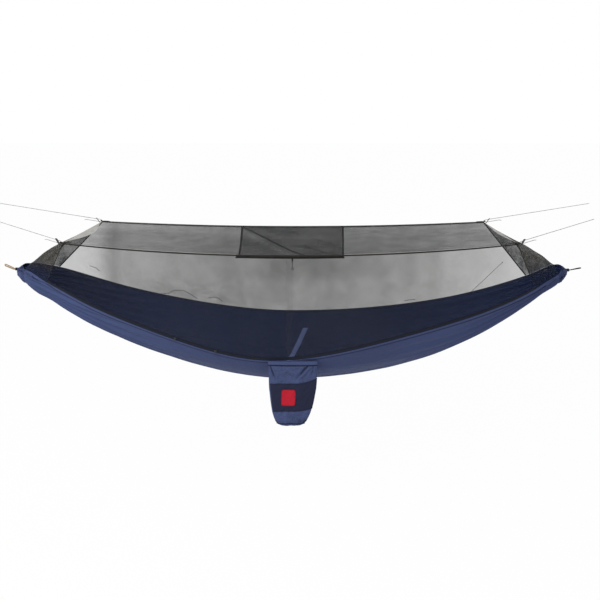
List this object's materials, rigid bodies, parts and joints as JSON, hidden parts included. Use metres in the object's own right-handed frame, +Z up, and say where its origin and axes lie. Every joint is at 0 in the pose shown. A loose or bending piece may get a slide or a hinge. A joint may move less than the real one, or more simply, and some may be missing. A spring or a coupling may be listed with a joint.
{
  "type": "hammock tent",
  "caption": "Gathered-end camping hammock with a sewn-in insect net, a flat net roof on guy lines, a zipped front wall, a gear loft and an attached stuff sack.",
  "frame": {"origin": "middle of the left suspension eye", "axes": "+X along the hammock to the right eye, +Y away from the front rim that has the zip and the sack, +Z up"},
  "size_m": [3.1865, 0.9113, 1.0105],
  "materials": {
    "back_net": "fine insect netting",
    "bed_back_panel": "woven nylon cloth",
    "bed_centre_panel": "woven nylon cloth",
    "bed_front_panel": "woven nylon cloth",
    "centre_strip": "fine insect netting",
    "corner_patch_bl": "woven tape",
    "corner_patch_br": "woven tape",
    "corner_patch_fl": "woven tape",
    "corner_patch_fr": "woven tape",
    "corner_tab_bl": "woven tape",
    "corner_tab_br": "woven tape",
    "corner_tab_fl": "woven tape",
    "corner_tab_fr": "woven tape",
    "end_net_left": "fine insect netting",
    "end_net_right": "fine insect netting",
    "front_net": "fine insect netting",
    "gather_left": "woven nylon cloth",
    "gather_right": "woven nylon cloth",
    "guy_knot_bl": "braided cord",
    "guy_knot_br": "braided cord",
    "guy_knot_fl": "braided cord",
    "guy_knot_fr": "braided cord",
    "guy_line_bl": "braided cord",
    "guy_line_br": "braided cord",
    "guy_line_fl": "braided cord",
    "guy_line_fr": "braided cord",
    "hang_cord": "braided cord",
    "hang_ring": "moulded plastic",
    "hang_tab": "woven tape",
    "inner_strap": "woven tape",
    "line_runner_bl": "moulded plastic",
    "line_runner_br": "moulded plastic",
    "line_runner_fl": "moulded plastic",
    "line_runner_fr": "moulded plastic",
    "loft_band": "woven tape",
    "loft_binding_left": "woven tape",
    "loft_binding_right": "woven tape",
    "loft_net": "fine insect netting",
    "rim_hem_back": "woven nylon cloth",
    "rim_hem_front": "woven nylon cloth",
    "roof_net": "fine insect netting",
    "roof_tape_back": "woven tape",
    "roof_tape_front": "woven tape",
    "sack_band": "woven tape",
    "sack_body": "woven nylon cloth",
    "sack_hem": "woven nylon cloth",
    "sack_label": "plain red stitched label",
    "suspension_loop_left": "braided cord",
    "suspension_loop_right": "braided cord",
    "tie_cord": "braided cord",
    "tie_toggle": "braided cord",
    "whipping_left": "braided cord",
    "whipping_right": "braided cord",
    "zip_pull_a": "moulded plastic",
    "zip_pull_b": "moulded plastic",
    "zip_slider_a": "moulded plastic",
    "zip_slider_b": "moulded plastic",
    "zip_tape_lower": "woven tape",
    "zip_tape_upper": "woven tape"
  },
  "bodies": {
    "canopy": {"back_net": "back_net", "centre_strip": "centre_strip", "corner_patch_bl": "corner_patch_bl", "corner_patch_br": "corner_patch_br", "corner_patch_fl": "corner_patch_fl", "corner_patch_fr": "corner_patch_fr", "corner_tab_bl": "corner_tab_bl", "corner_tab_br": "corner_tab_br", "corner_tab_fl": "corner_tab_fl", "corner_tab_fr": "corner_tab_fr", "end_net_left": "end_net_left", "end_net_right": "end_net_right", "front_net": "front_net", "guy_knot_bl": "guy_knot_bl", "guy_knot_br": "guy_knot_br", "guy_knot_fl": "guy_knot_fl", "guy_knot_fr": "guy_knot_fr", "guy_line_bl": "guy_line_bl", "guy_line_br": "guy_line_br", "guy_line_fl": "guy_line_fl", "guy_line_fr": "guy_line_fr", "hang_tab": "hang_tab", "loft_band": "loft_band", "loft_binding_left": "loft_binding_left", "loft_binding_right": "loft_binding_right", "loft_net": "loft_net", "roof_net": "roof_net", "roof_tape_back": "roof_tape_back", "roof_tape_front": "roof_tape_front", "suspension_loop_left": "suspension_loop_left", "suspension_loop_right": "suspension_loop_right", "whipping_left": "whipping_left", "whipping_right": "whipping_right"},
    "bed": {"bed_centre_panel": "bed_centre_panel", "bed_front_panel": "bed_front_panel", "bed_back_panel": "bed_back_panel", "rim_hem_front": "rim_hem_front", "rim_hem_back": "rim_hem_back", "gather_left": "gather_left", "gather_right": "gather_right", "zip_tape_lower": "zip_tape_lower", "zip_tape_upper": "zip_tape_upper", "inner_strap": "inner_strap", "tie_cord": "tie_cord", "tie_toggle": "tie_toggle"},
    "slider_a": {"zip_slider_a": "zip_slider_a"},
    "slider_b": {"zip_slider_b": "zip_slider_b"},
    "pull_a": {"zip_pull_a": "zip_pull_a"},
    "pull_b": {"zip_pull_b": "zip_pull_b"},
    "sack": {"sack_body": "sack_body", "sack_band": "sack_band", "sack_hem": "sack_hem", "sack_label": "sack_label"},
    "hang_ring": {"hang_cord": "hang_cord", "hang_ring": "hang_ring"},
    "runner_fl": {"line_runner_fl": "line_runner_fl"},
    "runner_bl": {"line_runner_bl": "line_runner_bl"},
    "runner_fr": {"line_runner_fr": "line_runner_fr"},
    "runner_br": {"line_runner_br": "line_runner_br"}
  },
  "joints": [
    {"name": "bed_sway", "type": "hinge", "parent": "canopy", "child": "bed", "pos_m": [1.486, 0, -0.02], "axis": [1, 0, 0], "range_deg": [-10, 10], "deforming": ["back_net", "end_net_left", "end_net_right", "front_net", "centre_strip"]},
    {"name": "zip_slide_a", "type": "slide", "parent": "bed", "child": "slider_a", "axis": [0.9684, -0.0736, -0.2385], "range_m": [-0.05, 0.05]},
    {"name": "pull_swing_a", "type": "hinge", "parent": "slider_a", "child": "pull_a", "pos_m": [1.13054, -0.41156, -0.33485], "axis": [-0.9684, 0.0736, 0.2385], "range_deg": [-15, 80]},
    {"name": "zip_slide_b", "type": "slide", "parent": "bed", "child": "slider_b", "axis": [0.946, -0.1212, -0.3007], "range_m": [-0.05, 0.05]},
    {"name": "pull_swing_b", "type": "hinge", "parent": "slider_b", "child": "pull_b", "pos_m": [0.93566, -0.39341, -0.27803], "axis": [-0.946, 0.1212, 0.3007], "range_deg": [-15, 80]},
    {"name": "sack_swing", "type": "hinge", "parent": "bed", "child": "sack", "pos_m": [1.501, -0.44523, -0.37051], "axis": [-1, 0, 0], "range_deg": [-10, 45]},
    {"name": "ring_swing", "type": "hinge", "parent": "canopy", "child": "hang_ring", "pos_m": [1.498, -0.3494, 0.08671], "axis": [1, 0, 0], "range_deg": [-8, 60]},
    {"name": "runner_slide_fl", "type": "slide", "parent": "canopy", "child": "runner_fl", "axis": [-0.9221, 0.3261, 0.2082], "range_m": [0, 0.06]},
    {"name": "runner_slide_bl", "type": "slide", "parent": "canopy", "child": "runner_bl", "axis": [-0.9221, -0.3261, 0.2082], "range_m": [0, 0.06]},
    {"name": "runner_slide_fr", "type": "slide", "parent": "canopy", "child": "runner_fr", "axis": [0.9221, 0.3261, 0.2082], "range_m": [0, 0.06]},
    {"name": "runner_slide_br", "type": "slide", "parent": "canopy", "child": "runner_br", "axis": [0.9221, -0.3261, 0.2082], "range_m": [0, 0.06]}
  ]
}
